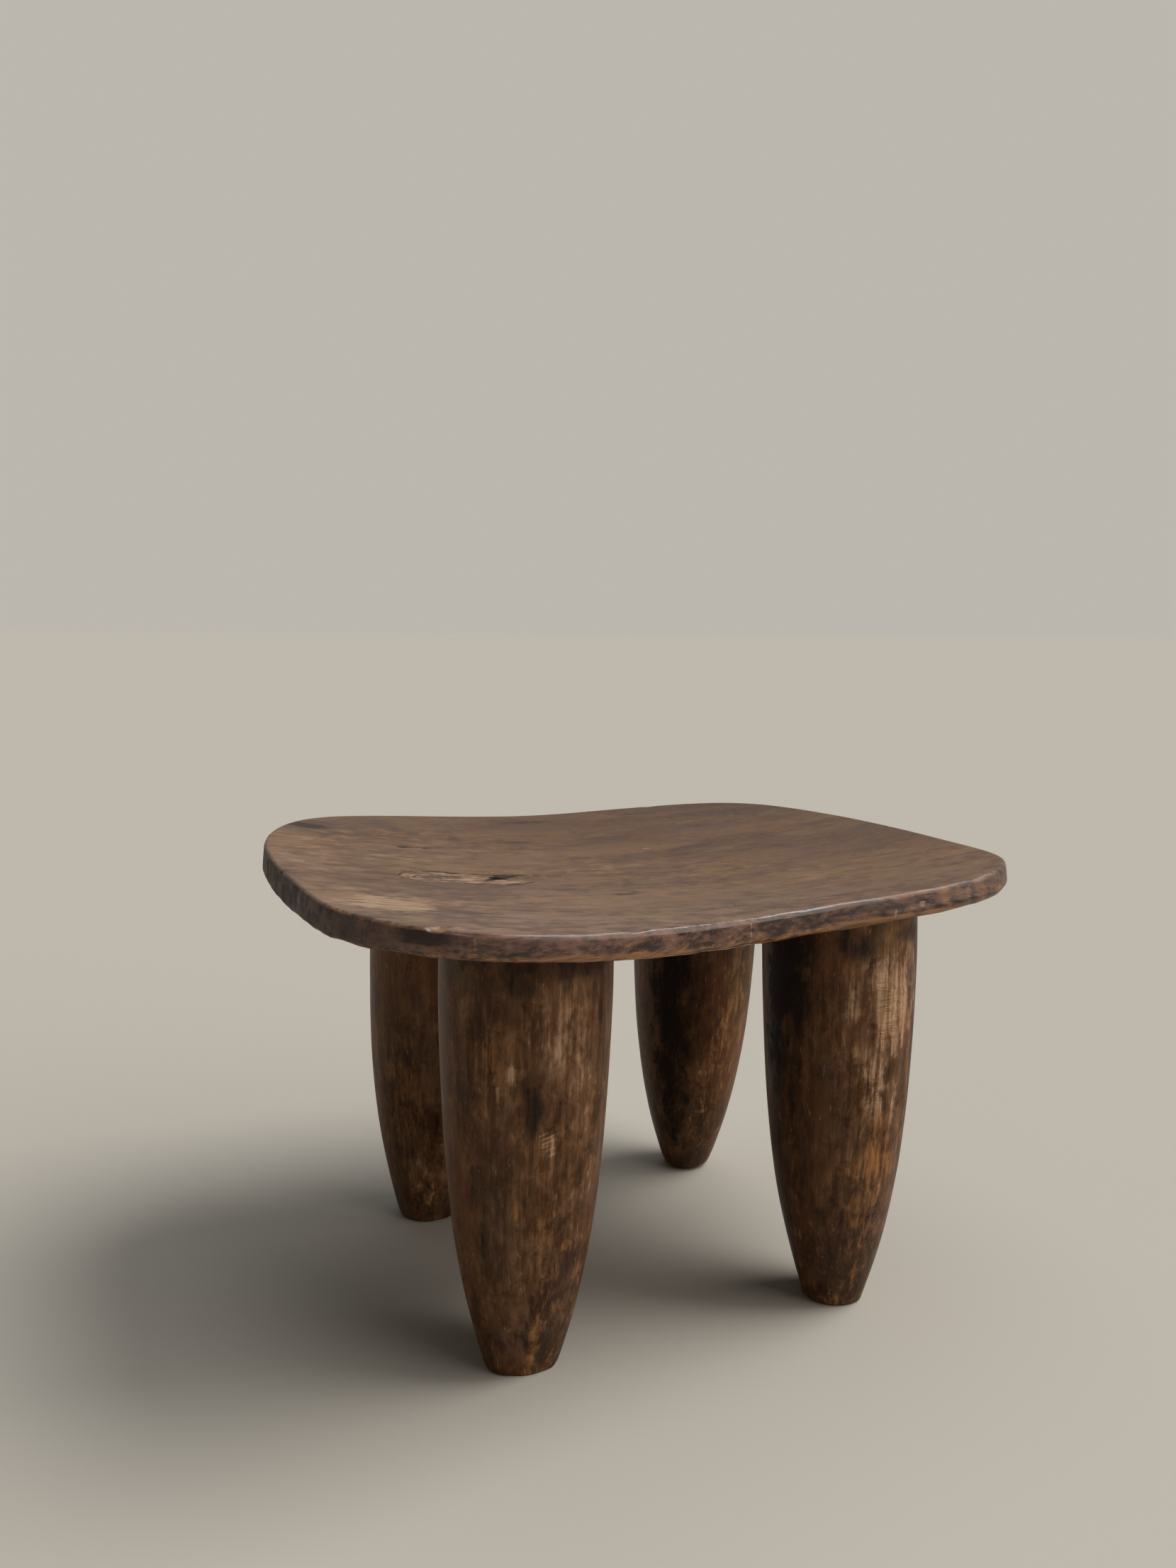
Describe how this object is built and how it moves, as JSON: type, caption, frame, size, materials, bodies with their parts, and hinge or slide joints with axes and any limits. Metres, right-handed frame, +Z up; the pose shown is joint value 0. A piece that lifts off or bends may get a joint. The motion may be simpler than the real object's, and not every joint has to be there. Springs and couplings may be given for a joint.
{
  "type": "carved wooden stool",
  "caption": "Low carved hardwood stool with a seat dished both ways, a rounded irregular plan and stout bullet-shaped legs that narrow to small flat feet.",
  "frame": {"origin": "centre of the bounding box in plan, on the surface that the feet stand on", "axes": "+X along the seat's length, +Y across the seat, away from its deeper long side, +Z up"},
  "size_m": [0.4522, 0.3653, 0.2797],
  "materials": {
    "seat_wood": "worn matt top with a hand-polished rim, warm brown",
    "leg_wood": "dark waxy patina over long grain, worn to tan in places"
  },
  "bodies": {
    "root": {"seat": "seat_wood", "leg_near_left": "leg_wood", "leg_near_right": "leg_wood", "leg_far_left": "leg_wood", "leg_far_right": "leg_wood"}
  },
  "joints": []
}
